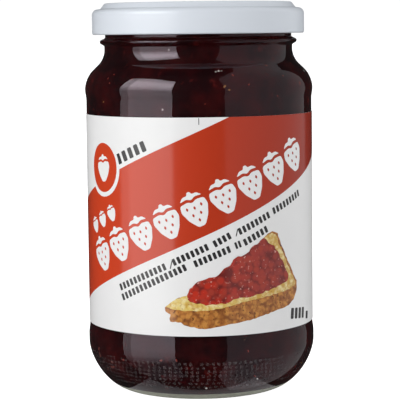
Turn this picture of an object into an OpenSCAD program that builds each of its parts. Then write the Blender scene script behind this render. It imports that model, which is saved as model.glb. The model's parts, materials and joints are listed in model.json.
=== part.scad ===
// Jam jar: a round glass jar filled with jam, closed by a pressed metal lid, with a paper
// label wrapped around its wall.
//
// Every piece is turned about the upright axis. The jar stands on z = 0 with its axis
// through the origin, and the middle of the label faces -Y.

/* [Glass jar] */
// Height of the glass, from the table to the rim
jar_h = 121.5; // [100:0.1:160]
// Diameter of the straight wall behind the label
panel_d = 71.4; // [70:0.1:95]
// How far the bands above and below the label stand proud of it, to save it from scuffs
band_proud = 0.36; // [0.1:0.02:1.2]
// Thickness of the wall
wall_t = 2.4; // [1.6:0.1:4]

/* [Base] */
// Diameter of the middle of the ring that the jar stands on
bearing_d = 47.2; // [38:0.2:58]
// Width of that ring
bearing_w = 1.6; // [0.8:0.1:3]
// Height of the rounded heel between that ring and the lower band
heel_h = 15; // [10:0.5:20]
// Fullness of the heel: 2 is an ellipse, and less is flatter across the corner
heel_fullness = 1.66; // [1.5:0.02:2.4]
// Rise of the hollow under the base
push_up = 2; // [0.5:0.1:4]
// Thickness of the base at the axis
base_t = 3.5; // [2.5:0.1:7]
// Radius of the inside corner between the floor and the wall
floor_fillet = 11.5; // [8:0.5:16]

/* [Shoulder and neck] */
// Outer diameter of the neck
neck_d = 59.5; // [50:0.1:64]
// Thickness of the neck's wall
neck_t = 2.7; // [2.2:0.1:4]
// Height from the rim down to where the neck's line meets the shoulder's slope
neck_h = 16.8; // [15:0.1:30]
// Slope of the shoulder, from upright
shoulder_slope = 45.7; // [30:0.1:65]
// Radius of the turn from the upper band to the slope
shoulder_round = 8; // [4:0.5:10]
// Radius of the turn from the slope to the neck
neck_round = 6; // [3:0.5:9]
// How far the bead around the neck stands out from it
bead_proud = 1.4; // [0.5:0.1:2.4]
// Height of the bead
bead_h = 2.5; // [1.5:0.1:4]
// Height from the rim down to the middle of the bead
bead_drop = 11.6; // [11.5:0.1:13]

/* [Lid] */
// How far the lid stands out from the neck
lid_overhang = 3.75; // [3.6:0.05:6]
// Height of the lid, from its curled edge to its raised panel
lid_h = 9.8; // [7:0.1:12]
// Thickness of the lid's sheet with its lining
lid_t = 0.5; // [0.3:0.05:1]
// How far the edge of the raised panel lies inside the neck's outer face
lid_panel_inset = 0.25; // [0:0.05:0.5]
// Width of the slope that leads down from the panel to the ring around it
lid_panel_slope = 1.4; // [0.8:0.1:2]
// Rise of the panel above that ring
lid_panel_rise = 1.8; // [1:0.05:2.5]
// Radius of the lid's upper corner
lid_round = 1.9; // [1:0.1:3]
// Thickness of the curled edge at the foot of the lid
curl_t = 1.3; // [1:0.1:2]
// Diameter of the safety button in the middle of the panel
button_d = 26; // [12:0.5:40]
// Depth of the safety button
button_sink = 0.45; // [0.2:0.05:1]

/* [Jam] */
// Free height between the jam and the rim
headspace = 7; // [3:0.5:60]
// Clearance between the jam and the glass all round
jam_fit = 0.03; // [0.01:0.01:0.1]

/* [Label] */
// Height between the lower band and the label
label_margin_low = 1.3; // [0:0.1:20]
// Height between the label and the upper band
label_margin_high = 4.9; // [0:0.1:20]
// Thickness of the paper
label_t = 0.12; // [0.08:0.01:0.3]
// Thickness of the glue under the paper
glue_t = 0.02; // [0.01:0.01:0.06]
// Width of bare glass between the label's ends, at the back
label_gap = 7; // [2:0.5:60]

/* [Hidden] */
$fn = 96;

arc_step = 6;           // angle of one straight piece of a rounded outline
heel_steps = 18;        // straight pieces in the heel

panel_r = panel_d / 2;
band_r = panel_r + band_proud;
bearing_r = (bearing_d + bearing_w) / 2;
neck_r = neck_d / 2;
cavity_r = panel_r - wall_t;
mouth_r = neck_r - neck_t;

heel_band = 3.2;        // straight height of the lower band, above the heel
shoulder_band = 0.8;    // straight height of the upper band, under the shoulder
band_ease = 2;          // height over which a band fades into the panel
band_fillet = 8;        // radius of the turns into and out of a band

bead_r = neck_r + bead_proud;
bead_z = jar_h - bead_drop;
finish_r = neck_r - 0.3; // radius of the glass above the bead
rim_taper = [1.1, 2.4]; // width and height of the taper between the neck's line and the rim
rim_round = 0.7;        // radius of the rim's edges

push_up_edge = 0.7;     // share of the hollow's rise that is reached just inside the ring
push_up_ease = 2.4;     // width of the step from the ring to the hollow
floor_z = push_up + base_t;
floor_fall = 0.8;       // how much lower the floor is at the wall than at the axis

lid_r = neck_r + lid_overhang;
lid_top = jar_h + lid_t;
lid_ring_z = lid_top - lid_panel_rise;
lid_panel_r = neck_r - lid_panel_inset;
lid_foot_z = lid_top - lid_h;
button_r = button_d / 2;
button_slope = 1.2;     // width of the button's sloping edge
press_round = 0.7;      // radius of the soft bends pressed into the sheet
curl_round = curl_t * 0.45;

// The unit vector along v
function unit(v) = v / norm(v);

// The vector v turned by an angle
function turned(v, angle) =
    [v.x * cos(angle) - v.y * sin(angle), v.x * sin(angle) + v.y * cos(angle)];

function reversed(points) = [for (i = [len(points) - 1 : -1 : 0]) points[i]];

// A corner is [radius from the axis, height, radius of its rounding]
function place(corner) = [corner.x, corner.y];

// The angle between the two lines that meet at corner i
function opening(corners, i) =
    let (here = place(corners[i]))
    let (back = unit(place(corners[i - 1]) - here))
    let (ahead = unit(place(corners[i + 1]) - here))
    acos(max(-1, min(1, back * ahead)));

// How far along its lines a corner's full rounding reaches
function reach(corners, i) =
    i == 0 || i == len(corners) - 1 || corners[i].z == 0
        ? 0
        : corners[i].z / tan(opening(corners, i) / 2);

// The share of its full rounding that leaves a corner room beside its neighbour
function room(corners, i, neighbour) =
    let (edge = norm(place(corners[i]) - place(corners[neighbour])))
    min(1, edge / (reach(corners, i) + reach(corners, neighbour)));

// The arc that rounds corner i
function corner_arc(corners, i) =
    let (radius = corners[i].z * min(room(corners, i, i - 1), room(corners, i, i + 1)))
    let (here = place(corners[i]))
    let (back = unit(place(corners[i - 1]) - here))
    let (ahead = unit(place(corners[i + 1]) - here))
    let (half = opening(corners, i) / 2)
    let (centre = here + unit(back + ahead) * radius / sin(half))
    let (start = here + back * radius / tan(half) - centre)
    let (sweep = sign(back.y * ahead.x - back.x * ahead.y) * (180 - 2 * half))
    let (steps = max(1, ceil(abs(sweep) / arc_step)))
    [for (step = [0 : steps]) centre + turned(start, sweep * step / steps)];

// An outline through corners, each rounded by its own radius
function rounded(corners) = [
    for (i = [0 : len(corners) - 1])
        if (reach(corners, i) == 0)
            place(corners[i])
        else
            each corner_arc(corners, i)
];

// Height of the shoulder's slope at a radius, on a line set in from its outer face
function slope_z(radius, inset) =
    jar_h - neck_h
    + ((neck_r - radius) * cos(shoulder_slope) - inset) / sin(shoulder_slope);

// Height where the outer wall starts to turn in to the shoulder
shoulder_z = slope_z(band_r, 0) - shoulder_round * tan(shoulder_slope / 2);

panel_low_z = heel_h + heel_band + band_ease;
panel_high_z = shoulder_z - shoulder_band - band_ease;

// The hollow under the base, from the axis to the ring that the jar stands on
function underside() =
    let (ring_in = bearing_r - bearing_w)
    rounded([
        [0, push_up, 0],
        [ring_in - push_up_ease, push_up * push_up_edge, push_up_ease],
        [ring_in, 0, 0]
    ]);

// The heel, from that ring to just under the lower band
function heel() = [
    for (i = [0 : heel_steps - 1])
        let (turn = 90 * i / heel_steps)
        [
            bearing_r + (band_r - bearing_r) * pow(sin(turn), 2 / heel_fullness),
            heel_h - heel_h * pow(cos(turn), 2 / heel_fullness)
        ]
];

// The outside of the jar, from the lower band to the rim
function outside_corners() = [
    [band_r, heel_h, 0],
    [band_r, heel_h + heel_band, band_fillet],
    [panel_r, panel_low_z, band_fillet],
    [panel_r, panel_high_z, band_fillet],
    [band_r, panel_high_z + band_ease, band_fillet],
    [band_r, slope_z(band_r, 0), shoulder_round],
    [neck_r, slope_z(neck_r, 0), neck_round],
    [neck_r, bead_z - bead_h / 2, bead_h / 6],
    [bead_r, bead_z - bead_h / 6, bead_h / 4],
    [bead_r, bead_z + bead_h / 6, bead_h / 4],
    [finish_r, bead_z + bead_h / 2, bead_h / 6],
    [finish_r, jar_h - rim_taper.y, rim_taper.y / 2],
    [neck_r - rim_taper.x, jar_h, rim_round]
];

// The inside of the jar, from the axis of its floor to the rim.
// A clearance makes the outline of what fits inside it.
function inside_corners(clearance) =
    let (wall = cavity_r - clearance)
    let (mouth = mouth_r - clearance)
    let (inset = wall_t + clearance)
    let (floor_edge_z = floor_z - floor_fall * wall / cavity_r)
    [
        [0, floor_z + clearance, 0],
        [wall, floor_edge_z + clearance, floor_fillet - clearance],
        [wall, slope_z(wall, inset), max(0, shoulder_round - inset)],
        [mouth, slope_z(mouth, inset), neck_round + inset],
        [mouth, jar_h, rim_round]
    ];

// The lid's outer face, from the axis to the curled edge.
// An inset makes the inner face under it.
function lid_face(inset) = rounded([
    [0, lid_top - button_sink / 2 - inset, 0],
    [button_r - button_slope, lid_top - button_sink - inset, press_round],
    [button_r, lid_top - inset, press_round],
    [lid_panel_r - inset / 2, lid_top - inset, press_round],
    [lid_panel_r + lid_panel_slope - inset / 2, lid_ring_z - inset, press_round],
    [lid_r - inset, lid_ring_z - inset, lid_round - inset],
    [lid_r - inset, lid_foot_z + curl_t, 0]
]);

// The curled edge, which is rolled inwards at the foot of the lid
function lid_curl() = rounded([
    [lid_r, lid_foot_z + curl_t, 0],
    [lid_r, lid_foot_z, curl_round],
    [lid_r - curl_t, lid_foot_z, curl_round],
    [lid_r - curl_t, lid_foot_z + curl_t, curl_round],
    [lid_r - lid_t, lid_foot_z + curl_t, 0]
]);

// The hollow glass, open at its mouth
module jar_glass() {
    wall = rounded(concat(outside_corners(), reversed(inside_corners(0))));
    color([0.84, 0.92, 0.88, 0.4])
        rotate_extrude()
            polygon(concat(underside(), heel(), wall));
}

// The jam, which fills the glass up to its level under the lid
module jam() {
    color([0.45, 0.05, 0.07])
        rotate_extrude()
            intersection() {
                polygon(concat(rounded(inside_corners(jam_fit)), [[0, jar_h]]));
                square([panel_r, jar_h - headspace]);
            }
}

// The pressed lid, whose panel sits on the rim
module lid() {
    color([0.93, 0.94, 0.95])
        rotate_extrude() {
            polygon(concat(lid_face(0), reversed(lid_face(lid_t))));
            polygon(lid_curl());
        }
}

// The paper label, wrapped around the panel with its ends at the back
module label() {
    inner_r = panel_r + glue_t;
    label_z = panel_low_z + label_margin_low;
    label_h = panel_high_z - label_margin_high - label_z;
    gap_angle = label_gap / inner_r * 180 / PI;
    color([0.95, 0.95, 0.94])
        rotate([0, 0, 90 + gap_angle / 2])
            rotate_extrude(angle = 360 - gap_angle)
                translate([inner_r, label_z])
                    square([label_t, label_h]);
}

jar_glass();
jam();
lid();
label();
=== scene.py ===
# %% [markdown]
# # A jar of jam
# A round glass jar stands filled with dark red jam, closed by a white pressed lid, with a
# printed paper label around its straight wall. Everything on it is turned about one upright
# axis or wrapped around that axis, so two ways of working make nearly the whole object: an
# outline spun about the axis, and a flat shape bent round it.

# %% Load the frame
import json
import math
import random

import bmesh
import bpy
from mathutils import Matrix, Vector

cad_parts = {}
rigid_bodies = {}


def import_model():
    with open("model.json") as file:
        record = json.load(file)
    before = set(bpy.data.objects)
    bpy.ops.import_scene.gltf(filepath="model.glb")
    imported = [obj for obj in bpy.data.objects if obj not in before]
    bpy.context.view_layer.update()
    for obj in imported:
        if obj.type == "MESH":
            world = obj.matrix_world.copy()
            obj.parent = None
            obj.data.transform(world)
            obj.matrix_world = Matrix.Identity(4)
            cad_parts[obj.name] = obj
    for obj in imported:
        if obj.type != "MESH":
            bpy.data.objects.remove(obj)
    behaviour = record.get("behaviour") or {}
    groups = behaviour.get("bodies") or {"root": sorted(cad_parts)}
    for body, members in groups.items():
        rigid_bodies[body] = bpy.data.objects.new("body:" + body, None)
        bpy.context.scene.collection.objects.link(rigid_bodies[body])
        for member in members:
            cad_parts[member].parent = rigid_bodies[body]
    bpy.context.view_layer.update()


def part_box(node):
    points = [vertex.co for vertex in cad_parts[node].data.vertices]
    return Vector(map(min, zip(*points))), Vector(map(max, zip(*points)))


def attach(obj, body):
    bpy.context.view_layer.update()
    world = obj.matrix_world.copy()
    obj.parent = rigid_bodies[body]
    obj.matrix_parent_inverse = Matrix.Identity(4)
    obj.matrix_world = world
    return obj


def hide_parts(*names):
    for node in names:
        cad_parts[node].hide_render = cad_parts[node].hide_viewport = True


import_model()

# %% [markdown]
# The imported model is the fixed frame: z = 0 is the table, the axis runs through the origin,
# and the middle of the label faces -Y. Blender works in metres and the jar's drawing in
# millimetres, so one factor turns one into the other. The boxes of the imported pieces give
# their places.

MM = 0.001
random.seed(7)


def size_mm(node):
    low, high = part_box(node)
    return [round(value / MM, 2) for value in (high.x, low.z, high.z)]


lid_r, lid_foot_z, lid_top = size_mm("lid")
band_r, _, jar_h = size_mm("jar_glass")
label_r, label_low, label_high = size_mm("label")
_, _, jam_level = size_mm("jam")
print("jar radius and height", band_r, jar_h, "lid", lid_r, lid_foot_z, lid_top)
print("label radius and heights", label_r, label_low, label_high, "jam level", jam_level)

# %% [markdown]
# Colours are written as the hex values that a paint chart gives, which are sRGB. The shaders
# calculate in linear light, so one function turns one into the other. A second small function
# adds a node to a material, with its settings, and links whatever is another node's output.
# Hardly any real surface has one even colour, so a third lets a colour wander between two.

# %% Colours and nodes
def linear(hex_colour):
    parts = [int(hex_colour[i:i + 2], 16) / 255 for i in (1, 3, 5)]
    return (*[p / 12.92 if p <= 0.04045 else ((p + 0.055) / 1.055) ** 2.4 for p in parts], 1)


def add(tree, kind, inputs=None, **settings):
    node = tree.nodes.new(kind)
    for name, value in settings.items():
        setattr(node, name, value)
    for key, value in (inputs or {}).items():
        if isinstance(value, bpy.types.NodeSocket):
            tree.links.new(value, node.inputs[key])
        else:
            node.inputs[key].default_value = value
    return node


def new_material(name):
    material = bpy.data.materials.new(name)
    material.use_nodes = True
    material.node_tree.nodes.clear()
    return material, material.node_tree


def per_metre(size):
    """The scale of a pattern whose spots are this many millimetres across."""
    return 1 / (size * MM)


def mottled(tree, size, dark, pale, detail=2):
    """A colour that wanders between two, in patches of this many millimetres."""
    place = add(tree, "ShaderNodeTexCoord").outputs["Object"]
    patches = add(tree, "ShaderNodeTexNoise", {
        "Vector": place, "Scale": per_metre(size), "Detail": detail})
    return add(tree, "ShaderNodeMix", {
        0: patches.outputs["Fac"], 6: linear(dark), 7: linear(pale)},
        data_type="RGBA").outputs[2]


print("paper white in linear light", [round(c, 3) for c in linear("#F1F1F0")])

# %% [markdown]
# A turned piece starts as half of its cut face: a chain of points from the axis, out along
# one side and back to the axis. It can be drawn by hand with extrude, one point after the
# other. A corner is rounded with a vertex bevel, whose offset is the distance from the corner
# to where the arc starts, so the radius has to be turned into that distance. Spinning the
# chain by a full turn makes the skin, and the last row is merged with the first.

# %% Draw a chain of points, round its corners and spin it
SPIN_STEPS = 192
ARC_STEP = math.radians(7)
MERGE = 0.001 * MM


def start_piece(name):
    """A new object with no points in it yet, left in edit mode."""
    bpy.ops.object.select_all(action="DESELECT")
    bpy.ops.mesh.primitive_plane_add(size=MM)
    piece = bpy.context.object
    piece.name = name
    piece.data.name = name
    bpy.ops.object.mode_set(mode="EDIT")
    bpy.ops.mesh.select_mode(type="VERT")
    bpy.ops.mesh.delete(type="VERT")
    return piece


def draw_chain(points):
    """One point, extruded from place to place."""
    bpy.ops.mesh.primitive_plane_add(size=MM)
    bpy.ops.mesh.merge(type="CENTER")
    bpy.ops.transform.translate(value=points[0])
    for here, ahead in zip(points, points[1:]):
        bpy.ops.mesh.extrude_vertices_move(TRANSFORM_OT_translate={"value": ahead - here})


def select_near(piece, place, reach):
    """Selects the points that lie within reach of a place, and no others."""
    mesh = bmesh.from_edit_mesh(piece.data)
    for vertex in mesh.verts:
        vertex.select = (vertex.co - place).length < reach
    mesh.select_flush_mode()
    bmesh.update_edit_mesh(piece.data)


def round_corner(piece, back, corner, ahead, radius):
    turn = (corner - back).angle(ahead - corner)
    select_near(piece, corner, MERGE)
    bpy.ops.mesh.bevel(
        affect="VERTICES", offset=radius * math.tan(turn / 2), offset_type="OFFSET",
        segments=max(2, math.ceil(turn / ARC_STEP)), profile=0.5, clamp_overlap=True)


def turned_piece(name, corners):
    """corners: (radius, height, rounding) in mm, from the axis out and back to it."""
    piece = start_piece(name)
    points = [Vector((r, 0, z)) * MM for r, z, _ in corners]
    draw_chain(points)
    for back, corner, ahead, (_, _, rounding) in zip(points, points[1:], points[2:], corners[1:]):
        if rounding:
            round_corner(piece, back, corner, ahead, rounding * MM)
    bpy.ops.mesh.select_all(action="SELECT")
    bpy.ops.mesh.spin(steps=SPIN_STEPS, angle=2 * math.pi, center=(0, 0, 0), axis=(0, 0, 1))
    bpy.ops.mesh.select_all(action="SELECT")
    bpy.ops.mesh.remove_doubles(threshold=MERGE)
    bpy.ops.mesh.normals_make_consistent(inside=False)
    bpy.ops.object.mode_set(mode="OBJECT")
    bpy.ops.object.shade_smooth_by_angle(angle=math.radians(35))
    print(name, "has", len(piece.data.polygons), "faces")
    return piece


# %% [markdown]
# Every finished piece is treated the same way: it gets what it is made of, it moves with the
# one body of the jar, and the imported piece it stands for is hidden.

# %% Finish a piece
def finish(piece, material, node=None):
    piece.data.materials.clear()
    piece.data.materials.append(material)
    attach(piece, "root")
    if node:
        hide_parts(node)


# %% [markdown]
# The glass is pressed and blown in a mould. Its wall is 2.4 mm thick, it stands on a narrow
# ring around a hollow base, a rounded heel leads up to a band, the label's panel lies 0.36 mm
# back between that band and the one under the shoulder, and a bead runs round the neck. Glass
# makers call the hollow under the base the push-up and the ring at the mouth the finish. The
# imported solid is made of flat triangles, which would break up what is seen through the glass,
# so the same outline is spun again as a smooth skin.

# %% The jar's sizes, in millimetres
wall_t = 2.4
bearing_r = 24.4
bearing_w = 1.6
push_up = 2.0
ramp_w = 2.4
floor_z = 5.5
floor_dish = 0.8
floor_corner = 11.5
heel_h = 15.0
heel_fullness = 1.66
heel_band = 3.2
panel_step = 2.0
panel_r = band_r - 0.36
panel_low = heel_h + heel_band + panel_step
panel_high = 92.37
soft_r = 8.0
slope = math.radians(45.7)
neck_r = 29.75
neck_foot = jar_h - 16.8
neck_fillet = 6.0
bead_r = neck_r + 1.4
bead_z = jar_h - 11.6
bead_h = 2.5
finish_r = neck_r - 0.3
mouth_r = neck_r - 2.7
rim_h = 2.4
rim_in = 1.1
rim_r = 0.7


def slope_z(radius, inset=0.0):
    """Height of the shoulder's slope at a radius, on a line set in from its face."""
    run = (neck_r - radius) * math.cos(slope) - inset
    return neck_foot + run / math.sin(slope)


def heel_point(turn):
    """The heel is an ellipse with flatter corners, from the bearing ring to the band."""
    out = math.sin(turn) ** (2 / heel_fullness)
    up = 1 - math.cos(turn) ** (2 / heel_fullness)
    return bearing_r + (band_r - bearing_r) * out, heel_h * up


def inside_wall(deeper):
    """The inside of the glass from the floor up. deeper pushes the line into the glass."""
    wall = panel_r - wall_t + deeper
    mouth = mouth_r + deeper
    inset = wall_t - deeper
    return [
        (0, floor_z - deeper, 0),
        (wall, floor_z - floor_dish - deeper, floor_corner + deeper),
        (wall, slope_z(wall, inset), soft_r - inset),
        (mouth, slope_z(mouth, inset), neck_fillet + inset),
        (mouth, jar_h, rim_r)]


# %% The glass
underside = [
    (0, push_up, 0),
    (bearing_r - bearing_w - ramp_w, push_up * 0.7, ramp_w),
    (bearing_r - bearing_w, 0, 0)]
heel = [(*heel_point(math.radians(turn)), 0) for turn in range(0, 90, 5)]
outer_wall = [
    (band_r, heel_h, 0),
    (band_r, heel_h + heel_band, soft_r),
    (panel_r, panel_low, soft_r),
    (panel_r, panel_high, soft_r),
    (band_r, panel_high + panel_step, soft_r),
    (band_r, slope_z(band_r), soft_r),
    (neck_r, slope_z(neck_r), neck_fillet),
    (neck_r, bead_z - bead_h / 2, bead_h / 6),
    (bead_r, bead_z - bead_h / 6, bead_h / 4),
    (bead_r, bead_z + bead_h / 6, bead_h / 4),
    (finish_r, bead_z + bead_h / 2, bead_h / 6),
    (finish_r, jar_h - rim_h, rim_h / 2),
    (neck_r - rim_in, jar_h, rim_r)]
glass = turned_piece("glass", underside + heel + outer_wall + inside_wall(0)[::-1])

# %% [markdown]
# Container glass is soda-lime glass, with a refractive index of 1.52 and a trace of green.
# It has a fire-polished skin with a very slight wave from the mould, which makes the edges of
# reflections uneven, and the thin coating that is sprayed on against scratches turns them a
# little pink. Filled with jam it shows almost only its reflections. A clear shader casts a
# black shadow on what it holds, so for shadow rays it is swapped for a plain see-through one.

# %% Soda-lime glass
glass_material, tree = new_material("soda_lime_glass")
place = add(tree, "ShaderNodeTexCoord").outputs["Object"]
wave = add(tree, "ShaderNodeTexNoise", {"Vector": place, "Scale": per_metre(14), "Detail": 1})
skin = add(tree, "ShaderNodeBump", {
    "Height": wave.outputs["Fac"], "Strength": 1, "Distance": 0.09 * MM})
clear = add(tree, "ShaderNodeBsdfPrincipled", {
    "Base Color": linear("#F3F9F5"), "Roughness": 0.03, "IOR": 1.52,
    "Transmission Weight": 1, "Specular Tint": linear("#FFF0FD"),
    "Normal": skin.outputs["Normal"]})
shadow = add(tree, "ShaderNodeBsdfTransparent", {"Color": linear("#EAF3EE")})
rays = add(tree, "ShaderNodeLightPath")
glass_shader = add(tree, "ShaderNodeMixShader", {
    0: rays.outputs["Is Shadow Ray"], 1: clear.outputs[0], 2: shadow.outputs[0]})
add(tree, "ShaderNodeOutputMaterial", {"Surface": glass_shader.outputs[0]})
finish(glass, glass_material, "jar_glass")

# %% [markdown]
# The lowest millimetres, where the jar stands, are roughened in the mould and scuffed by use,
# so they scatter the light of the table and look pale and slightly green.

# %% Scuffed bearing ring
SCUFFED_H, SCUFFED_W = 2.3, 4.0
scuffed_material, tree = new_material("scuffed_glass")
place = add(tree, "ShaderNodeTexCoord").outputs["Object"]
scuffs = add(tree, "ShaderNodeTexNoise", {
    "Vector": place, "Scale": per_metre(1.5), "Detail": 4, "Roughness": 0.65})
scuff_colour = add(tree, "ShaderNodeMix", {
    0: scuffs.outputs["Fac"], 6: linear("#A2A68E"), 7: linear("#DCDDCD")}, data_type="RGBA")
scratches = add(tree, "ShaderNodeBump", {
    "Height": scuffs.outputs["Fac"], "Strength": 0.7, "Distance": 0.1 * MM})
scuffed = add(tree, "ShaderNodeBsdfPrincipled", {
    "Base Color": scuff_colour.outputs[2], "Roughness": 0.5, "IOR": 1.52,
    "Transmission Weight": 0.35, "Normal": scratches.outputs["Normal"]})
add(tree, "ShaderNodeOutputMaterial", {"Surface": scuffed.outputs[0]})
glass.data.materials.append(scuffed_material)
for face in glass.data.polygons:
    out = face.center.xy.length
    if face.center.z < SCUFFED_H * MM and out > (bearing_r - SCUFFED_W) * MM:
        face.material_index = 1

# %% [markdown]
# Around the heel runs the stippling of such jars: rows of low pips, cut in the mould so that
# the hot glass does not slide on the line. One pip is modelled, a flattened cap of a ball, and
# copied along seven staggered rows, each copy turned to face out of the heel.

# %% The pips around the heel
def scattered(template, matrices):
    """Copies a template to every place, each copy with its own mesh, and joins them."""
    copies = []
    for matrix in matrices:
        copy = template.copy()
        copy.data = template.data.copy()
        bpy.context.scene.collection.objects.link(copy)
        copy.matrix_world = matrix
        copies.append(copy)
    name = template.name
    bpy.data.objects.remove(template)
    bpy.ops.object.select_all(action="DESELECT")
    for copy in copies:
        copy.select_set(True)
    bpy.context.view_layer.objects.active = copies[0]
    bpy.ops.object.join()
    piece = bpy.context.object
    bpy.ops.object.transform_apply(location=True, rotation=True, scale=True)
    piece.name = name
    print(name, "has", len(matrices), "copies and", len(piece.data.polygons), "faces")
    return piece


def ball(name, across, sides, rings):
    """A small ball, the start of what is scattered. across is in millimetres."""
    bpy.ops.object.select_all(action="DESELECT")
    bpy.ops.mesh.primitive_uv_sphere_add(segments=sides, ring_count=rings, radius=across * MM / 2)
    piece = bpy.context.object
    piece.name = name
    return piece


PIP_SIZE, PIP_CUT, PIP_FLAT = 1.4, 0.55, 0.2
PIP_ROWS, PIP_LOWEST, PIP_RISE, PIP_PITCH = 7, 5.2, 1.3, 1.7
PIP_SINK = 0.02
WORN_AWAY = 0.06
pip = ball("heel_pips", PIP_SIZE, 8, 12)
cut_z = PIP_SIZE / 2 * PIP_CUT
bpy.ops.object.mode_set(mode="EDIT")
bpy.ops.mesh.select_all(action="SELECT")
bpy.ops.mesh.bisect(
    plane_co=(0, 0, cut_z * MM), plane_no=(0, 0, 1), use_fill=True, clear_inner=True)
bpy.ops.mesh.select_all(action="SELECT")
bpy.ops.transform.translate(value=(0, 0, -cut_z * MM))
bpy.ops.transform.resize(value=(1, 1, PIP_FLAT), center_override=(0, 0, 0))
bpy.ops.object.mode_set(mode="OBJECT")
bpy.ops.object.shade_smooth_by_angle(angle=math.radians(50))

TURN_STEP = 0.01
pip_places = []
for row in range(PIP_ROWS):
    row_z = PIP_LOWEST + PIP_RISE * row
    turn = math.acos((1 - row_z / heel_h) ** (heel_fullness / 2))
    radius, height = heel_point(turn)
    low_r, low_z = heel_point(turn - TURN_STEP)
    high_r, high_z = heel_point(turn + TURN_STEP)
    lean = math.atan2(high_r - low_r, high_z - low_z)
    count = int(2 * math.pi * radius / PIP_PITCH)
    for step in range(count):
        angle = 2 * math.pi * (step + 0.5 * (row % 2)) / count
        if random.random() < WORN_AWAY:
            continue
        pip_places.append(
            Matrix.Rotation(angle, 4, "Z")
            @ Matrix.Translation(Vector((radius - PIP_SINK, 0, height)) * MM)
            @ Matrix.Rotation(math.radians(90) + lean, 4, "Y")
            @ Matrix.Scale(random.uniform(0.8, 1.1), 4))
pips = scattered(pip, pip_places)

# %% [markdown]
# A pip is so small and low that its edge only catches a little light. A faint see-through
# grey film does that, without bending what lies behind it a second time.

# %% Stippled glass
stipple_material, tree = new_material("stippled_glass")
stipple = add(tree, "ShaderNodeBsdfPrincipled", {
    "Base Color": mottled(tree, 5, "#6E686A", "#A8A2A4"), "Roughness": 0.3, "IOR": 1.52,
    "Alpha": 0.05})
add(tree, "ShaderNodeOutputMaterial", {"Surface": stipple.outputs[0]})
finish(pips, stipple_material)

# %% [markdown]
# The jam touches the glass everywhere, so no air shines between them. Its outline is the
# inside of the glass pushed 0.05 mm into the wall, and it stops at the level under the lid.
# Two surfaces in the same place would flicker, and one inside the other does not.

# %% The jam
JAM_SINK = 0.05
JAM_EDGE_R = 0.6
jam_side = inside_wall(JAM_SINK)[:4]
jam_top = [(mouth_r + JAM_SINK, jam_level, JAM_EDGE_R), (0, jam_level, 0)]
jam = turned_piece("jam_fill", jam_side + jam_top)

# %% [markdown]
# Set strawberry jam is a deep red jelly full of cooked fruit, nearly black where it is thick,
# so a jar full of it needs no see-through shader. Against the glass the fruit shows as clouds
# a few millimetres across, with brighter flecks of flesh. Wet jelly bends light nearly as much
# as glass does, so behind glass it has hardly any gloss of its own.

# %% Cooked fruit in jelly
jam_material, tree = new_material("cooked_fruit_jelly")
place = add(tree, "ShaderNodeTexCoord").outputs["Object"]
clouds = add(tree, "ShaderNodeTexNoise", {
    "Vector": place, "Scale": per_metre(9), "Detail": 3, "Roughness": 0.55})
cloud_mask = add(tree, "ShaderNodeMapRange", {
    "Value": clouds.outputs["Fac"], "From Min": 0.38, "From Max": 0.66})
depth = add(tree, "ShaderNodeMix", {
    0: cloud_mask.outputs["Result"], 6: linear("#1A0305"), 7: linear("#330708")},
    data_type="RGBA")
flesh = add(tree, "ShaderNodeTexNoise", {
    "Vector": place, "Scale": per_metre(3.2), "Detail": 4, "Roughness": 0.6})
flesh_mask = add(tree, "ShaderNodeMapRange", {
    "Value": flesh.outputs["Fac"], "From Min": 0.62, "From Max": 0.72, "To Max": 0.8})
jam_colour = add(tree, "ShaderNodeMix", {
    0: flesh_mask.outputs["Result"], 6: depth.outputs[2], 7: linear("#4A100E")},
    data_type="RGBA")
jelly = add(tree, "ShaderNodeBsdfPrincipled", {
    "Base Color": jam_colour.outputs[2], "Roughness": 0.3, "Specular IOR Level": 0.02})
add(tree, "ShaderNodeOutputMaterial", {"Surface": jelly.outputs[0]})
finish(jam, jam_material, "jam")

# %% [markdown]
# Strawberry seeds are little drops, up to a millimetre long. They lie in the jelly at all
# depths, and those that touch the glass show as red and ochre specks. One seed of each kind is
# modelled and copied around the wall, up the shoulder and the neck, half sunk in the jam. The
# jam's rounded foot is taken as a quarter of an oval, which is close enough for specks.

# %% Seeds against the glass
FOOT_TOP, FOOT_H, FOOT_W = 12.0, 7.0, 8.0
TURN_IN_H = 1.5
SEED_SHAPE = (0.5, 0.75, 1.25)
SEED_TIP, TIP_REACH, TIP_PULL = 0.625, 0.2, 0.16
SEED_LOWEST, SEED_HIGHEST, SEED_SINK = 8.0, jam_level - 2, 0.25


def wall_at(height):
    """Radius of the jam's side at a height, and how far it leans in from upright."""
    jam_wall = panel_r - wall_t
    turn_in = slope_z(jam_wall, wall_t)
    if height < FOOT_TOP:
        drop = (FOOT_TOP - height) / FOOT_H
        return jam_wall - FOOT_W * (1 - math.sqrt(max(0, 1 - drop * drop))), 0
    if height < turn_in - TURN_IN_H:
        return jam_wall, 0
    radius = jam_wall - (height - turn_in) * math.tan(slope)
    return max(radius, mouth_r), slope if radius > mouth_r else 0


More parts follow.
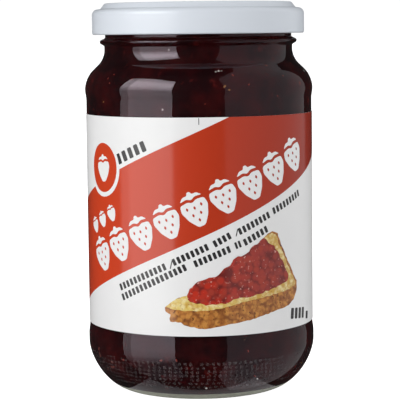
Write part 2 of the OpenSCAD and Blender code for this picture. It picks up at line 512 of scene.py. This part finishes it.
def seeds(name, count, across):
    """A number of seeds, from a ball that is squeezed and pulled to a point at one end."""
    seed = ball(name, across, 8, 6)
    size = across * MM
    bpy.ops.object.mode_set(mode="EDIT")
    bpy.ops.mesh.select_all(action="SELECT")
    bpy.ops.transform.resize(value=SEED_SHAPE)
    select_near(seed, Vector((0, 0, SEED_TIP * size)), TIP_REACH * size)
    bpy.ops.transform.translate(value=(0, 0, TIP_PULL * size))
    bpy.ops.object.mode_set(mode="OBJECT")
    bpy.ops.object.shade_smooth()
    places = []
    for _ in range(count):
        height = random.uniform(SEED_LOWEST, SEED_HIGHEST)
        radius, lean = wall_at(height)
        places.append(
            Matrix.Rotation(random.uniform(0, 2 * math.pi), 4, "Z")
            @ Matrix.Translation(Vector((radius - random.uniform(0, SEED_SINK), 0, height)) * MM)
            @ Matrix.Rotation(-lean, 4, "Y")
            @ Matrix.Rotation(random.uniform(0, math.pi), 4, "X")
            @ Matrix.Scale(random.uniform(0.7, 1.15), 4))
    return scattered(seed, places)


# %% [markdown]
# A seed's shell is hard and waxy. It starts ochre, and the jelly stains most of them red.

# %% Seed shell
def seed_shell(name, dark, pale):
    material, tree = new_material(name)
    shell = add(tree, "ShaderNodeBsdfPrincipled", {
        "Base Color": mottled(tree, 1.2, dark, pale), "Roughness": 0.35,
        "Specular IOR Level": 0.1})
    add(tree, "ShaderNodeOutputMaterial", {"Surface": shell.outputs[0]})
    return material


red_seeds = seeds("red_seeds", 330, 0.6)
finish(red_seeds, seed_shell("stained_seed_shell", "#521410", "#94301C"))
ochre_seeds = seeds("ochre_seeds", 25, 0.8)
finish(ochre_seeds, seed_shell("ochre_seed_shell", "#6E3A1E", "#A8743C"))

# %% [markdown]
# A few small bubbles of air stay caught between the jam and the glass. Their skin throws the
# light straight back, so each shows as a pale point. They are so few that each is placed one
# by one: its angle from the middle of the label in degrees, its height and its size.

# %% Bubbles against the glass
bubble_list = [
    (11, 100.3, 0.7), (9.3, 100.1, 0.5), (12.6, 100.3, 0.45), (-18.6, 89.8, 0.6),
    (-18.6, 107.5, 0.45), (2.5, 5.4, 0.7), (32, 7.2, 0.5), (78, 99, 0.6), (101, 12, 0.5),
    (142, 96.5, 0.55), (-155, 8, 0.5), (-118, 102, 0.6), (-84, 10.5, 0.45)]
bubble_places = []
for from_front, height, across in bubble_list:
    radius, _ = wall_at(height)
    bubble_places.append(
        Matrix.Rotation(math.radians(from_front - 90), 4, "Z")
        @ Matrix.Translation(Vector((radius, 0, height)) * MM)
        @ Matrix.Scale(across, 4))
bubble = ball("bubbles", 1.0, 12, 8)
bpy.ops.object.shade_smooth()
bubbles = scattered(bubble, bubble_places)

# The bubbles' pale colour is a painted highlight, standing in for the light their skin throws
# back.
bubble_material, tree = new_material("air_bubble_painted_glint")
bubble_glint_paint = add(tree, "ShaderNodeBsdfPrincipled", {
    "Base Color": mottled(tree, 0.4, "#A89898", "#F4ECEA", 1), "Roughness": 0.15,
    "Specular IOR Level": 0.8})
add(tree, "ShaderNodeOutputMaterial", {"Surface": bubble_glint_paint.outputs[0]})
finish(bubbles, bubble_material)

# %% [markdown]
# The lid is pressed from one round of tinplate: a raised panel with a safety button, a ring
# around it that lies 1.8 mm lower, a rounded corner, a straight skirt, and an edge curled
# inwards. Its outline runs along the top face, round the curl and back under the sheet.

# %% The lid
lid_t = 0.5
button_r, button_edge, button_drop = 11.8, 1.2, 0.45
top_r, top_edge = neck_r - 0.25, 1.4
ring_z = lid_top - 1.8
press_r, corner_r = 0.7, 1.9
curl_t, curl_end_r = 1.3, 0.4
curl_r = 0.45 * curl_t
curl_z = lid_foot_z + curl_t


def lid_face(inset):
    """The top face from the middle out to the corner, or the same line set into the sheet."""
    return [
        (0, lid_top - button_drop / 2 - inset, 0),
        (button_r, lid_top - button_drop - inset, press_r),
        (button_r + button_edge, lid_top - inset, press_r),
        (top_r - inset / 2, lid_top - inset, press_r),
        (top_r + top_edge - inset / 2, ring_z - inset, press_r),
        (lid_r - inset, ring_z - inset, corner_r - inset)]


curl = [
    (lid_r, lid_foot_z, curl_r),
    (lid_r - curl_t, lid_foot_z, curl_r),
    (lid_r - curl_t, curl_z, curl_end_r),
    (lid_r - lid_t, curl_z, 0)]
lid = turned_piece("pressed_lid", lid_face(0) + curl + lid_face(lid_t)[::-1])

# %% [markdown]
# Tinplate for lids is coated with a baked white lacquer. It is smooth with a satin gloss and
# a fine orange-peel texture from the roller, about a millimetre across.

# %% White baked lacquer
lid_material, tree = new_material("baked_white_lacquer")
place = add(tree, "ShaderNodeTexCoord").outputs["Object"]
peel = add(tree, "ShaderNodeTexNoise", {"Vector": place, "Scale": per_metre(1.1), "Detail": 2})
peel_bump = add(tree, "ShaderNodeBump", {
    "Height": peel.outputs["Fac"], "Strength": 0.5, "Distance": 0.01 * MM})
lacquer = add(tree, "ShaderNodeBsdfPrincipled", {
    "Base Color": mottled(tree, 25, "#DBE1E8", "#E1E7EE"), "Roughness": 0.32,
    "Specular IOR Level": 0.35, "Coat Weight": 0.2, "Coat Roughness": 0.12,
    "Normal": peel_bump.outputs["Normal"]})
add(tree, "ShaderNodeOutputMaterial", {"Surface": lacquer.outputs[0]})
finish(lid, lid_material, "lid")

# %% [markdown]
# The label is a strip of paper, and its print is ink on it. Both are made flat, as the printer
# has them: x is the distance along the paper from the middle of the front, z the height. The
# flat shape is cut into narrow columns, gets its own UV map in millimetres, is bent round the
# jar with Simple Deform and given its thickness with Solidify. So a drawing keeps its true
# sizes, and each ink lies as a film a few hundredths of a millimetre over the one below.

# %% Flat shapes, bent round the jar
COLUMN = 0.94
INK_T = 0.02
PAPER_T = 0.12


def draw_shape(points, rounding):
    """Adds a flat face with this outline, (along, height) in mm, with rounded corners."""
    draw_chain([Vector((x, 0, z)) * MM for x, z in points])
    bpy.ops.mesh.select_linked()
    bpy.ops.mesh.edge_face_add()
    if rounding:
        bpy.ops.mesh.bevel(
            affect="VERTICES", offset=rounding * MM, offset_type="OFFSET",
            segments=4, profile=0.5, clamp_overlap=True)


def flat_piece(name, outlines, rounding=0.0):
    """One object with a flat face for each outline."""
    piece = start_piece(name)
    for points in outlines:
        draw_shape(points, rounding)
    bpy.ops.object.mode_set(mode="OBJECT")
    return piece


def wrap(piece, layer, thickness=INK_T):
    """Bends a flat piece round the jar, as a layer of ink. Layer 0 is the paper itself."""
    mesh = piece.data
    along = [vertex.co.x / MM for vertex in mesh.vertices]
    first = math.ceil(min(along) / COLUMN + 0.01)
    last = math.floor(max(along) / COLUMN - 0.01)
    bpy.ops.object.select_all(action="DESELECT")
    piece.select_set(True)
    bpy.context.view_layer.objects.active = piece
    bpy.ops.object.mode_set(mode="EDIT")
    for column in range(first, last + 1):
        bpy.ops.mesh.select_all(action="SELECT")
        bpy.ops.mesh.bisect(plane_co=(column * COLUMN * MM, 0, 0), plane_no=(1, 0, 0))
    bpy.ops.object.mode_set(mode="OBJECT")
    # Print looks towards -Y while it is flat, so faces that look the other way are turned.
    for face in mesh.polygons:
        face.select = face.normal.y > 0
    bpy.ops.object.mode_set(mode="EDIT")
    bpy.ops.mesh.select_mode(type="FACE")
    bpy.ops.mesh.flip_normals()
    bpy.ops.mesh.select_mode(type="VERT")
    bpy.ops.object.mode_set(mode="OBJECT")
    while mesh.uv_layers:
        mesh.uv_layers.remove(mesh.uv_layers[0])
    drawing = mesh.uv_layers.new(name="millimetres")
    for loop in mesh.loops:
        spot = mesh.vertices[loop.vertex_index].co
        drawing.data[loop.index].uv = (spot.x / MM, spot.z / MM)
    radius = (label_r + layer * INK_T) * MM if layer else (label_r - thickness) * MM
    bend = piece.modifiers.new("bend", "SIMPLE_DEFORM")
    bend.deform_method = "BEND"
    bend.deform_axis = "Z"
    bend.angle = (max(along) - min(along)) * MM / radius
    bpy.ops.object.modifier_apply(modifier="bend")
    piece.location.y = -radius
    bpy.ops.object.transform_apply(location=True, rotation=False, scale=False)
    film = piece.modifiers.new("film", "SOLIDIFY")
    film.thickness = thickness * MM
    film.offset = 1
    bpy.ops.object.modifier_apply(modifier="film")
    bpy.ops.object.shade_smooth_by_angle(angle=math.radians(35))
    print(piece.name, "has", len(mesh.polygons), "faces")
    return piece


# %% The paper
LABEL_GAP = 7.0
half_length = math.pi * (label_r - PAPER_T) - LABEL_GAP / 2
label = flat_piece("paper_label", [[
    (-half_length, label_low), (half_length, label_low),
    (half_length, label_high), (-half_length, label_high)]])
wrap(label, 0, PAPER_T)

# %% [markdown]
# Label paper is coated with china clay on its face and calendered, so it has a soft broad
# gloss over a bright white. The fibres below still stir the surface a little.

# %% Coated paper and offset inks
def fibres(tree):
    """The bump of the paper's felt, which shows through its coating and through the ink."""
    place = add(tree, "ShaderNodeTexCoord").outputs["Object"]
    felt = add(tree, "ShaderNodeTexNoise", {
        "Vector": place, "Scale": per_metre(0.7), "Detail": 3, "Roughness": 0.6})
    return add(tree, "ShaderNodeBump", {
        "Height": felt.outputs["Fac"], "Strength": 0.25, "Distance": 0.01 * MM}).outputs[0]


paper_material, tree = new_material("coated_label_paper")
paper = add(tree, "ShaderNodeBsdfPrincipled", {
    "Base Color": mottled(tree, 6, "#ECECEB", "#F1F1F0", 3), "Roughness": 0.45,
    "Specular IOR Level": 0.3, "Coat Weight": 0.35, "Coat Roughness": 0.14,
    "Normal": fibres(tree)})
add(tree, "ShaderNodeOutputMaterial", {"Surface": paper.outputs[0]})
finish(label, paper_material, "label")


def across_front(tree, left, right):
    """0 at one distance along the paper, in millimetres, and 1 at another."""
    drawing = add(tree, "ShaderNodeUVMap", uv_map="millimetres").outputs[0]
    along = add(tree, "ShaderNodeSeparateXYZ", {0: drawing}).outputs["X"]
    return add(tree, "ShaderNodeMapRange", {
        "Value": along, "From Min": left, "From Max": right}).outputs["Result"]


def ink(name, left, right, gloss=1.0):
    """An offset ink on coated paper, its colour running from the left to the right.
    Where the left end is lighter, as in the red, that is painted light from the window.
    """
    material, tree = new_material(name)
    tint = add(tree, "ShaderNodeMix", {
        0: across_front(tree, -40, 40), 6: linear(left), 7: linear(right)}, data_type="RGBA")
    film = add(tree, "ShaderNodeBsdfPrincipled", {
        "Base Color": tint.outputs[2], "Roughness": 0.42, "Specular IOR Level": 0.15,
        "Coat Weight": gloss, "Coat Roughness": 0.14, "Normal": fibres(tree)})
    add(tree, "ShaderNodeOutputMaterial", {"Surface": film.outputs[0]})
    return material


# The red is painted lighter at the left and darker at the right: painted light and shade.
red_ink_lit_at_left = ink("offset_red_painted_light_ink", "#D44016", "#A4280A")
white_ink = ink("opaque_white_ink", "#EEEEED", "#F0F0EF", 0.35)
black_ink = ink("offset_black_ink", "#2E2C2D", "#343233")

# %% [markdown]
# A broad red band climbs across the label and runs on round the jar. Its edges rise by 44 mm
# in 100. On the real jar it carries words: here a row of plain white berries has their place,
# and small bars have the place of the lines of small print.

# %% The band and its badge
BAND_TOP, TOP_CLIMB = 83.46, 0.444
BAND_FOOT, FOOT_CLIMB = 51.4, 0.441
BADGE_ALONG, BADGE_HEIGHT = -34.7, 71.4
OVAL_POINTS = 32

band = flat_piece("red_band", [[
    ((label_high - BAND_TOP) / TOP_CLIMB, label_high),
    ((label_high - BAND_FOOT) / FOOT_CLIMB, label_high),
    ((label_low - BAND_FOOT) / FOOT_CLIMB, label_low),
    (-half_length, label_low),
    (-half_length, BAND_TOP - TOP_CLIMB * half_length)]])
finish(wrap(band, 0.5), red_ink_lit_at_left)


def oval(along, height, half_wide, half_tall):
    turns = [2 * math.pi * i / OVAL_POINTS for i in range(OVAL_POINTS)]
    return [
        (along + half_wide * math.cos(turn), height + half_tall * math.sin(turn))
        for turn in turns]


badge_rim = flat_piece("badge_rim", [oval(BADGE_ALONG, BADGE_HEIGHT, 7.9, 8.7)])
finish(wrap(badge_rim, 1.5), white_ink)
badge = flat_piece("badge", [oval(BADGE_ALONG, BADGE_HEIGHT + 0.3, 6.7, 7.6)])
finish(wrap(badge, 2.5), red_ink_lit_at_left)

# %% [markdown]
# The berry is drawn once, as a body and a crown of leaves, and printed thirteen times: nine
# large ones climb along the band, three small ones stand above its start, and one is in the
# badge. The large ones have six seeds each, printed in red over the white.

# %% The berries
rise = math.atan(0.434)
berry_body = [
    (-3.7, 2.6), (-1.3, 2.9), (0, 2.2), (1.3, 2.9), (3.7, 2.6), (4.1, 0.6),
    (2.9, -2.4), (1.0, -4.9), (-1.0, -4.9), (-2.9, -2.4), (-4.1, 0.6)]
berry_crown = [
    (-3.4, 3.5), (-1.3, 3.8), (0, 3.1), (1.3, 3.8), (3.4, 3.5), (2.2, 4.7),
    (0.7, 4.7), (0.5, 5.6), (-0.5, 5.6), (-0.7, 4.7), (-2.2, 4.7)]
seed_spots = [(-2.2, 1.0), (0, 0.7), (2.2, 1.0), (-1.2, -1.2), (1.2, -1.2), (0, -3.0)]


def stamp(along, height, turn=0.0, wide=1.0, tall=1.0):
    """Where a flat drawing is printed, turned by an angle and scaled."""
    return (
        Matrix.Translation(Vector((along, 0, height)) * MM)
        @ Matrix.Rotation(-turn, 4, "Y")
        @ Matrix.Diagonal((wide, 1, tall, 1)))


row_step, row_climb = 8.66, 0.436
row_berries = [
    stamp(-36 + row_step * i, 44.7 + row_climb * row_step * i, rise, 1.05, 1.05)
    for i in range(9)]
small_berries = [stamp(-40.6 + 4.9 * i, 53.4 + 2.2 * i, rise, 0.5, 0.5) for i in range(3)]
badge_berry = [stamp(BADGE_ALONG, BADGE_HEIGHT - 0.1, 0.1, 0.8, 0.8)]
print("the row of berries climbs", round(math.degrees(rise), 1), "degrees")

outlines = [berry_body, berry_crown]
berries = scattered(flat_piece("berries", outlines, 0.55), row_berries + small_berries)
finish(wrap(berries, 1.5), white_ink)
mark = scattered(flat_piece("badge_berry", outlines, 0.55), badge_berry)
finish(wrap(mark, 3.5), white_ink)
SPOT_W, SPOT_H = 0.4, 0.62
spots = [
    [(x - SPOT_W, z), (x, z - SPOT_H), (x + SPOT_W, z), (x, z + SPOT_H)] for x, z in seed_spots]
berry_seeds = scattered(flat_piece("berry_seeds", spots, 0.25), row_berries)
finish(wrap(berry_seeds, 2.5), red_ink_lit_at_left)

# %% [markdown]
# The small print is a row of bars, one for each letter's place, so that the lines keep the
# rhythm of words. A bar is drawn once and stamped, scaled to its width and height.

# %% Bars in the place of small print
def bars_along(start, end, height, pitch, share):
    """Bars from start to end, standing square on that line, each a share of the pitch wide."""
    run = Vector(end) - Vector(start)
    turn = math.atan2(run.y, run.x)
    count = max(1, round(run.length / pitch))
    upward = Vector((-math.sin(turn), math.cos(turn))) * height / 2
    for i in range(count):
        spot = Vector(start) + run * ((i + 0.5) / count) + upward
        yield stamp(*spot, turn, run.length / count * share, height)


LETTER_H, LETTER_PITCH, LETTER_SHARE = 2.1, 1.52, 0.62
small_lines = [
    ((-27.1, 34.2), (-10.1, 41.9)), ((-8.3, 42.8), (2.9, 47.9)), ((4.2, 48.3), (9.8, 51.2)),
    ((11.9, 51.8), (23.0, 56.7)), ((23.9, 57.3), (37.0, 62.3)), ((-26.2, 31.2), (-3.8, 41.8)),
    ((-1.8, 42.4), (9.6, 47.0)), ((10.7, 47.6), (12.9, 48.4)), ((13.6, 48.4), (22.2, 52.5))]
bar_places = list(bars_along((-27.4, 72.7), (-15.9, 77.7), 3.3, 2.5, LETTER_SHARE))
for start, end in small_lines:
    bar_places += bars_along(start, end, LETTER_H, LETTER_PITCH, LETTER_SHARE)

# Thin strokes part two pairs of words, and the net weight stands low at the right.
bar_places += [stamp(-9.0, 43.2, -0.235, 0.3, 2.5), stamp(11.15, 52.7, -0.225, 0.3, 2.3)]
bar_places += bars_along((31.1, 24.4), (39.7, 23.6), 3.4, 2.15, 0.7)
bar_places += bars_along((40.9, 23.1), (43.0, 22.9), 2.4, 2.1, 0.8)

# A tick at the top edge is the printer's cutting mark.
bar_places.append(stamp(-0.1, 86.3, 0, 0.2, 2.0))


def bar_piece(name):
    return flat_piece(name, [[(-0.5, -0.5), (0.5, -0.5), (0.5, 0.5), (-0.5, 0.5)]], 0.16)


bars = scattered(bar_piece("word_bars"), bar_places)
finish(wrap(bars, 0.5), black_ink)

# %% [markdown]
# Behind, towards the gap between the label's ends, such labels carry blocks of small print.
# Here they are short dark lines of uneven length.

# %% Lines at the back
WORD_SHORT, WORD_LONG, WORD_GAP = 2.5, 9, 0.8
LINE_H, LINE_STEP, LINE_SPARE = 1.1, 2.6, 3


def text_block(low_x, high_x, low_z, high_z):
    """Where the words of a block of print are stamped, line by line from the top."""
    height = high_z
    while height > low_z:
        along = low_x
        while along < high_x - LINE_SPARE:
            width = min(random.uniform(WORD_SHORT, WORD_LONG), high_x - along)
            yield stamp(along + width / 2, height, 0, width - WORD_GAP, LINE_H)
            along += width
        height -= LINE_STEP


back_lines = list(text_block(64, 104, 27, 78)) + list(text_block(-103, -62, 62, 83))
back_bars = scattered(bar_piece("back_lines"), back_lines)
finish(wrap(back_bars, 0.5), black_ink)

# %% [markdown]
# Low on the right of the front is a slice of bread with jam. It is printed in fields of
# colour: a brown crust, a yellow crumb over it, and the heap of jam on top.

# %% The slice of bread
slice_outline = [
    (-11.2, 30.3), (-9.4, 31.6), (-6.8, 33.4), (-4.6, 33.8), (1.0, 36.0), (21.2, 51.3),
    (23.5, 52.4), (25.6, 51.6), (26.7, 48.9), (28.3, 45.9), (30.1, 42.8), (32.4, 39.1),
    (34.7, 36.0), (34.8, 33.0), (33.0, 30.4), (30.4, 28.8), (26.5, 28.2), (22.7, 27.4),
    (18.9, 26.6), (14.4, 25.7), (9.9, 25.2), (5.6, 24.3), (2.0, 23.8), (-0.5, 24.0),
    (-3.3, 24.5), (-5.3, 25.1), (-6.3, 25.8), (-9.5, 26.0), (-9.8, 27.0), (-9.4, 28.0),
    (-10.9, 29.2)]
crumb_outline = [
    (-11.1, 30.4), (-9.4, 31.6), (-6.8, 33.4), (-4.6, 33.7), (1.0, 35.8), (21.2, 51.1),
    (23.4, 52.1), (25.0, 51.2), (26.0, 48.7), (27.7, 45.6), (29.5, 42.4), (31.7, 38.8),
    (34.2, 35.8), (34.0, 34.7), (30.0, 33.7), (24.6, 33.1), (19.3, 32.4), (15.4, 31.9),
    (11.5, 31.2), (8.8, 30.6), (5.4, 29.9), (2.1, 29.5), (-1.3, 29.2), (-5.5, 29.4),
    (-8.3, 29.9)]
heap_outline = [
    (-4.3, 33.8), (-3.2, 35.8), (-1.8, 37.3), (-0.1, 38.6), (2.2, 39.4), (3.8, 39.2),
    (5.5, 40.1), (7.2, 41.8), (9.0, 42.8), (10.1, 44.7), (11.6, 45.3), (13.7, 45.9),
    (14.9, 47.0), (16.2, 48.3), (18.0, 48.6), (18.6, 49.9), (19.8, 50.6), (21.2, 50.0),
    (24.0, 47.7), (26.3, 44.9), (28.3, 41.6), (30.5, 38.2), (30.2, 36.5), (26.6, 35.5),
    (22.8, 34.6), (18.6, 33.6), (15.4, 33.0), (12.4, 32.9), (10.0, 32.4), (7.1, 31.4),
    (4.3, 31.0), (1.5, 31.0), (-1.3, 31.6), (-3.2, 32.1)]


def ragged(points, step, amount):
    """The same outline with points added every step, each moved by up to amount."""
    rough = []
    for here, ahead in zip(points, points[1:] + points[:1]):
        here, run = Vector(here), Vector(ahead) - Vector(here)
        count = max(1, round(run.length / step))
        for i in range(count):
            nudge = Vector((random.uniform(-amount, amount), random.uniform(-amount, amount)))
            rough.append(tuple(here + run * (i / count) + nudge))
    return rough


crust = wrap(flat_piece("crust", [ragged(slice_outline, 0.9, 0.14)], 0.25), 0.5)
crumb = wrap(flat_piece("crumb", [ragged(crumb_outline, 0.9, 0.22)], 0.25), 1.5)
heap = wrap(flat_piece("jam_heap", [ragged(heap_outline, 1.1, 0.28)], 0.3), 2.5)

# %% [markdown]
# The picture's colours are mixed from three patterns each. A broad one has the shape of the
# baked crust or the open crumb, cells with dark edges have the shape of lumps and pores, and a
# fine one has the grain or the shine. They read the label's own map in millimetres, so they
# stay on the paper. The crust, the crumb and the jam are painted brighter at their left ends,
# where the light comes from, and darker to the right: painted light and shade.

# %% Printed bread and jam
def spread(tree, pattern, size, low, high, **inputs):
    """A pattern with spots of this many millimetres, stretched to run from 0 to 1."""
    drawing = add(tree, "ShaderNodeUVMap", uv_map="millimetres").outputs[0]
    field = add(tree, pattern, {"Vector": drawing, "Scale": 1 / size, **inputs})
    return add(tree, "ShaderNodeMapRange", {
        "Value": field.outputs[0], "From Min": low, "From Max": high}).outputs["Result"]


def printed(name, left, right, patch, edge, spot, sizes, spot_from):
    """A printed picture's colour, from left to right, with patches, cell edges and spots.
    The lighter left end and darker right end are painted light and shade from the window.
    sizes are the patches', the cells' and the spots', in millimetres."""
    material, tree = new_material(name)
    patch_size, cell_size, spot_size = sizes
    colour = linear(left)
    layers = [
        (right, across_front(tree, -2, 26)),
        (patch, spread(tree, "ShaderNodeTexNoise", patch_size, 0.42, 0.6, Detail=3)),
        (edge, spread(tree, "ShaderNodeTexVoronoi", cell_size, 0.45, 0.85)),
        (spot, spread(tree, "ShaderNodeTexNoise", spot_size, spot_from, spot_from + 0.08,
                      Detail=4, Roughness=0.6))]
    for layer, share in layers:
        mix = add(tree, "ShaderNodeMix", {0: share, 7: linear(layer)}, data_type="RGBA")
        if isinstance(colour, tuple):
            mix.inputs[6].default_value = colour
        else:
            tree.links.new(colour, mix.inputs[6])
        colour = mix.outputs[2]
    film = add(tree, "ShaderNodeBsdfPrincipled", {
        "Base Color": colour, "Roughness": 0.42, "Specular IOR Level": 0.2,
        "Coat Weight": 1, "Coat Roughness": 0.14, "Normal": fibres(tree)})
    add(tree, "ShaderNodeOutputMaterial", {"Surface": film.outputs[0]})
    return material


# Each left colour is lighter than its right one: painted light from the window at the left.
crust_print = printed(
    "printed_crust", left="#B87430", right="#A06030", patch="#CC8C40", edge="#8A5022",
    spot="#5A3014", sizes=(1.8, 1.4, 1.1), spot_from=0.58)
crumb_print = printed(
    "printed_crumb", left="#E6CA6C", right="#CCA458", patch="#EEDCA0", edge="#D0A448",
    spot="#A87428", sizes=(1.6, 1.2, 0.8), spot_from=0.6)
heap_print = printed(
    "printed_jam", left="#C42C12", right="#8C3430", patch="#A83828", edge="#74201C",
    spot="#DC9C90", sizes=(3.0, 1.9, 1.2), spot_from=0.61)
finish(crust, crust_print)
finish(crumb, crumb_print)
finish(heap, heap_print)

# %% [markdown]
# The jar stands on a large pale sheet in front of a white background, lit from the left by a
# tall soft window of light and from the right by a white board. What the glass mirrors is as
# important as what lights it, so each light has the width and height of its reflection, and
# everything else that the glass could mirror is dark. The sheet shines a little to the eye, so
# that it is as white as the background, and is left out of reflections.

# %% Floor
FLOOR_SIZE = 40
bpy.ops.object.select_all(action="DESELECT")
bpy.ops.mesh.primitive_plane_add(size=FLOOR_SIZE)
floor = bpy.context.object
floor.name = "floor"
floor_material, tree = new_material("white_sheet")
rays = add(tree, "ShaderNodeLightPath")
seen = add(tree, "ShaderNodeMath", {
    0: rays.outputs["Is Camera Ray"], 1: rays.outputs["Is Transmission Ray"]},
    operation="MAXIMUM")
matt = add(tree, "ShaderNodeBsdfDiffuse", {"Color": linear("#E8E8E8")})
glow = add(tree, "ShaderNodeEmission", {
    "Color": (1, 1, 1, 1), "Strength": seen.outputs[0]})
both = add(tree, "ShaderNodeAddShader", {0: matt.outputs[0], 1: glow.outputs[0]})
add(tree, "ShaderNodeOutputMaterial", {"Surface": both.outputs[0]})
floor.data.materials.append(floor_material)
floor.visible_glossy = False

# %% World
ROOM = (0.49, 0.49, 0.5, 1)
DARK = (0.02, 0.02, 0.02, 1)
BACKDROP = (1.05, 1.05, 1.05, 1)
world = bpy.data.worlds.new("studio")
bpy.context.scene.world = world
world.use_nodes = True
tree = world.node_tree
tree.nodes.clear()
rays = add(tree, "ShaderNodeLightPath")
dim = add(tree, "ShaderNodeMix", {
    0: rays.outputs["Is Glossy Ray"], 6: ROOM, 7: DARK}, data_type="RGBA")
seen = add(tree, "ShaderNodeMath", {
    0: rays.outputs["Is Camera Ray"], 1: rays.outputs["Is Transmission Ray"]},
    operation="MAXIMUM")
white = add(tree, "ShaderNodeMix", {
    0: seen.outputs[0], 6: dim.outputs[2], 7: BACKDROP}, data_type="RGBA")
sky = add(tree, "ShaderNodeBackground", {"Color": white.outputs[2]})
add(tree, "ShaderNodeOutputWorld", {"Surface": sky.outputs[0]})

# %% [markdown]
# Each light is an upright panel that faces the jar. Its brightness can run from foot to head,
# and the rise says between which shares of its height. Some panels only light the jar and
# some are only mirrored by it, so that both can be set apart.

# %% Lights
def soft_light(name, azimuth, aside, width, low, high, radiance,
               foot=1.0, head=1.0, rise=(0, 1), far=0.8):
    """A panel facing the axis from afar. azimuth 0 is in front of the label, -90 at its left."""
    angle = math.radians(azimuth)
    lamp = bpy.data.lights.new(name, "AREA")
    lamp.shape = "RECTANGLE"
    lamp.size = width
    lamp.size_y = high - low
    lamp.energy = radiance * math.pi * width * (high - low)
    lamp.use_nodes = True
    tree = lamp.node_tree
    tree.nodes.clear()
    across = add(tree, "ShaderNodeNewGeometry").outputs["Parametric"]
    upward = add(tree, "ShaderNodeSeparateXYZ", {0: across}).outputs["Y"]
    strength = add(tree, "ShaderNodeMapRange", {
        "Value": upward, "From Min": rise[0], "From Max": rise[1],
        "To Min": foot, "To Max": head})
    shine = add(tree, "ShaderNodeEmission", {"Strength": strength.outputs["Result"]})
    add(tree, "ShaderNodeOutputLight", {"Surface": shine.outputs[0]})
    light = bpy.data.objects.new(name, lamp)
    bpy.context.scene.collection.objects.link(light)
    x = far * math.sin(angle) + aside * math.cos(angle)
    y = -far * math.cos(angle) + aside * math.sin(angle)
    light.location = (x, y, (low + high) / 2)
    light.rotation_euler = (math.pi / 2, 0, angle)
    print(name, "gives", round(lamp.energy, 2), "W")
    return light


WINDOW = -55.5
PANE, FAR_PANE = 1.9, 0.62
GROUND, SILL, LINTEL = -1.6, -0.12, 0.69
GLINT_LOW, GLINT_HIGH, GLINT = 0.14, 0.88, 2.3

panes = [("near", 0.09, 0.72, PANE), ("far", -0.36, 0.18, PANE * FAR_PANE)]
for side, aside, width, share in panes:
    soft_light("window_" + side, WINDOW, aside, width, SILL, LINTEL, share)
    soft_light(
        "window_foot_" + side, WINDOW, aside, width, GROUND, SILL, share,
        foot=0.12, head=0.95, rise=(0.74, 1))
    # Panels in one plane would hide each other, so the glint stands a little nearer.
    glint = soft_light(
        "window_glint_" + side, WINDOW, aside, width, GLINT_LOW, GLINT_HIGH, share * GLINT,
        foot=0, head=1, rise=(0, 0.38), far=0.79)
    glint.visible_diffuse = False
fill = soft_light("front_fill", -35, 0, 0.6, 0, 0.9, 0.5)
back_fill = soft_light("back_fill", 130, 0, 0.6, 0, 0.9, 1.3)
for light in (fill, back_fill):
    light.visible_glossy = False
    light.visible_transmission = False

# %% [markdown]
# The white board at the right is mirrored as a broad grey veil. A small panel just under the
# base shines upwards, as the white sheet does through clear glass, so the heel isn't black.

# %% The board at the right and the shine under the jar
board = soft_light("board", 90, 0, 1.2, -1.6, 1.2, 0.36)
board.location.x = 0.4
board.location.y = -0.25
under_glow = soft_light("under_glow", 0, 0, 0.06, 0, 0.06, 0.5)
under_glow.location = (0, 0, -0.012)
under_glow.rotation_euler = (math.pi, 0, 0)
under_glow.visible_diffuse = False

# %% [markdown]
# The camera stands half a metre in front of the jar, level with its neck, with a long lens,
# so the label's edges curve only slightly. It looks down by 5.7 degrees and leans by two
# thirds of a degree.

# %% Camera
camera_data = bpy.data.cameras.new("camera")
camera_data.lens = 153
camera_data.sensor_width = 36
camera_data.clip_start = 0.01
camera_data.clip_end = 100
camera = bpy.data.objects.new("camera", camera_data)
bpy.context.scene.collection.objects.link(camera)
camera.location = (0, -0.541, 0.113)
tilt = Matrix.Rotation(math.radians(84.33), 3, "X")
roll = Matrix.Rotation(math.radians(-0.655), 3, "Z")
camera.rotation_euler = (tilt @ roll).to_euler()
bpy.context.scene.camera = camera
bpy.context.scene.view_settings.view_transform = "Standard"
